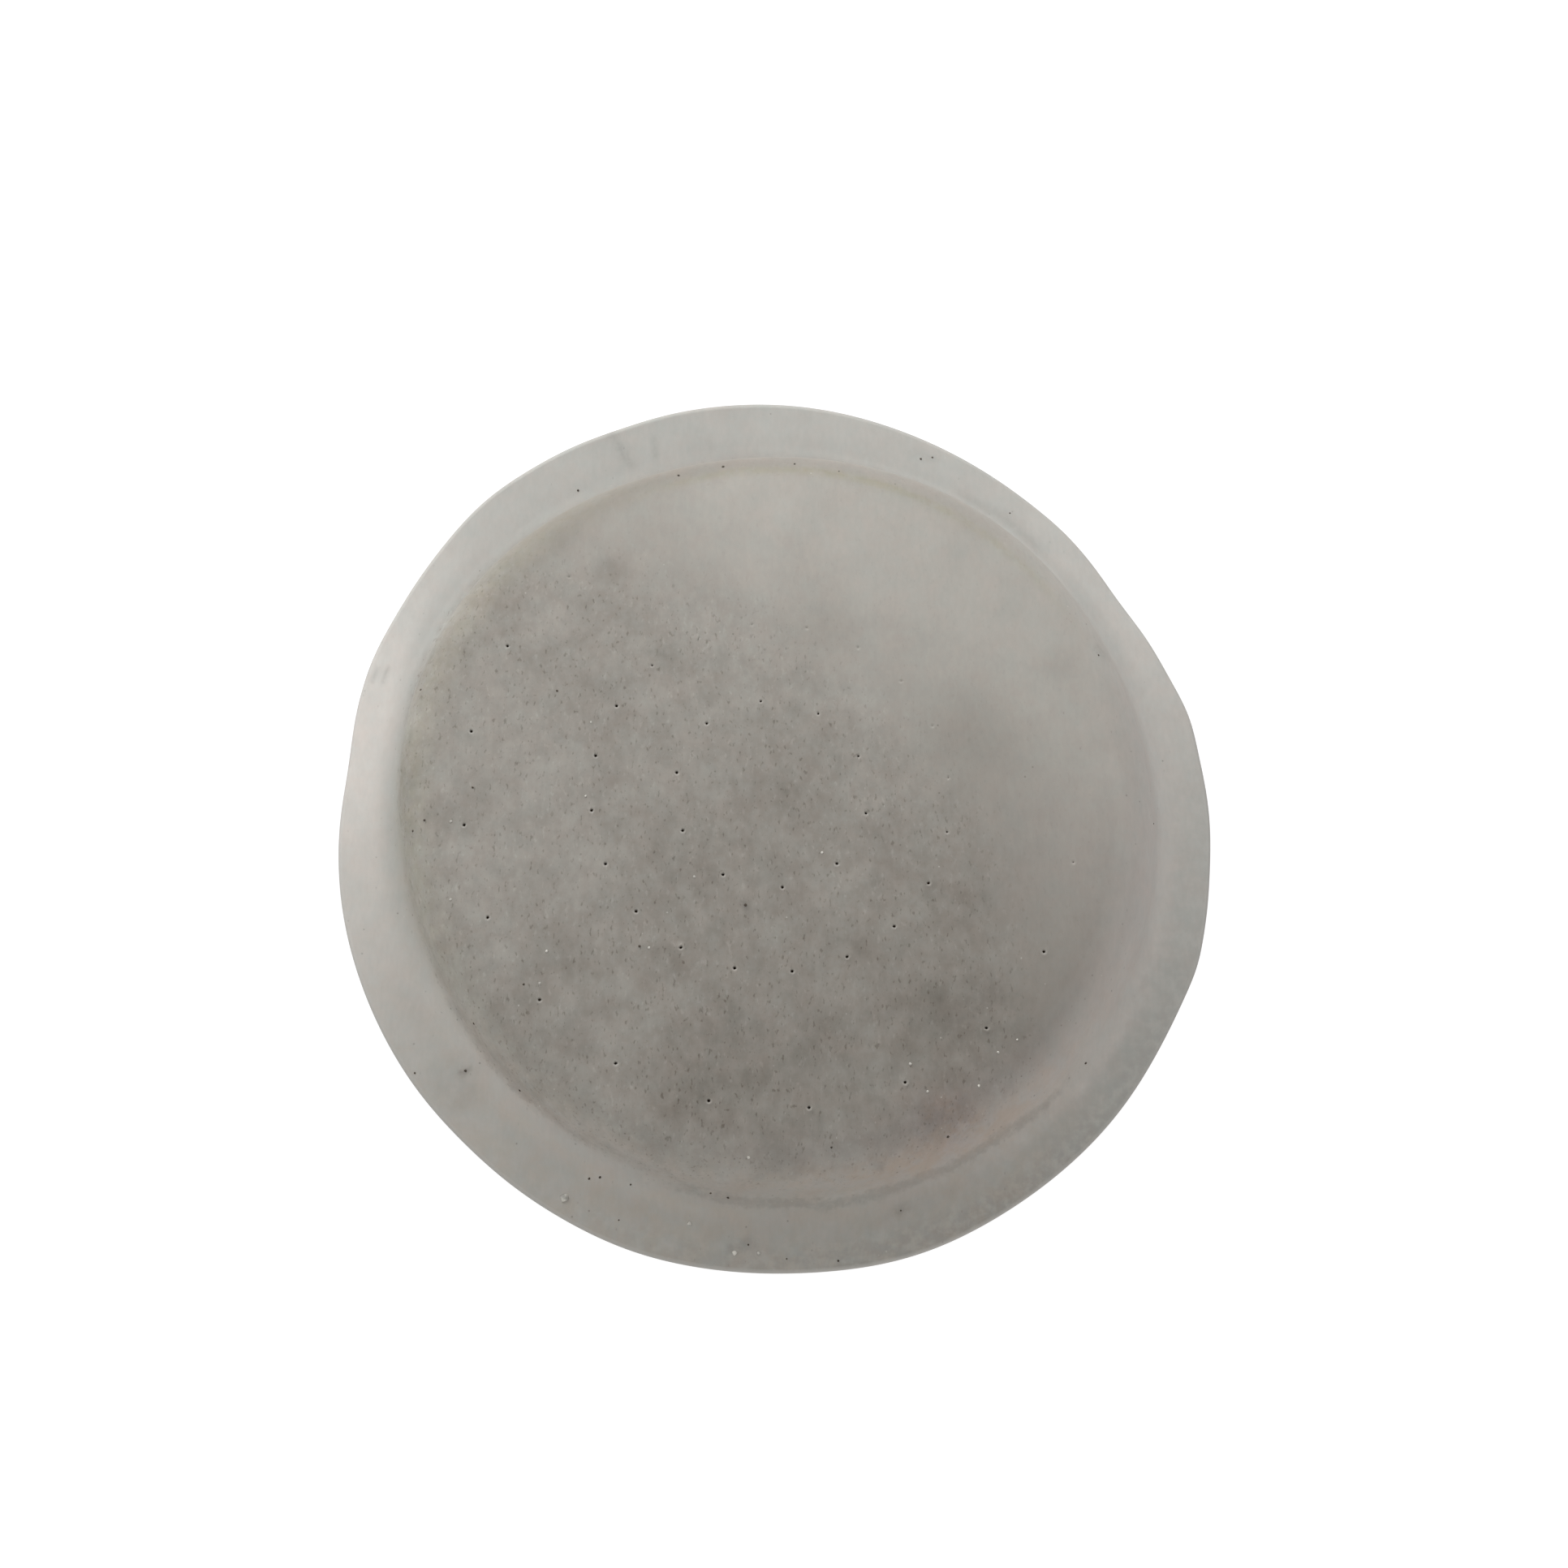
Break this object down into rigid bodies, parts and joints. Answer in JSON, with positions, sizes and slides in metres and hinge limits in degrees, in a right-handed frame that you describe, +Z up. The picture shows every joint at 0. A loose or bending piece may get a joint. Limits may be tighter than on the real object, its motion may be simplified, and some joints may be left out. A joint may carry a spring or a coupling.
{
  "type": "coffee pod",
  "caption": "Soft round coffee pod: a bed of grounds sealed between sheets of filter paper, with a thin flat rim and rings of needle holes in its raised face.",
  "frame": {"origin": "centre of the flat face that the pod lies on", "axes": "+Z up through the raised needled face, the pod's axis of symmetry and its shortest extent"},
  "size_m": [0.0693, 0.0707, 0.0073],
  "materials": {
    "formed_paper": "matt fibrous filter paper",
    "flat_paper": "matt fibrous filter paper",
    "coffee": "loose roasted grounds"
  },
  "bodies": {
    "root": {"formed_filter_paper": "formed_paper", "flat_filter_paper": "flat_paper", "ground_coffee": "coffee"}
  },
  "joints": []
}
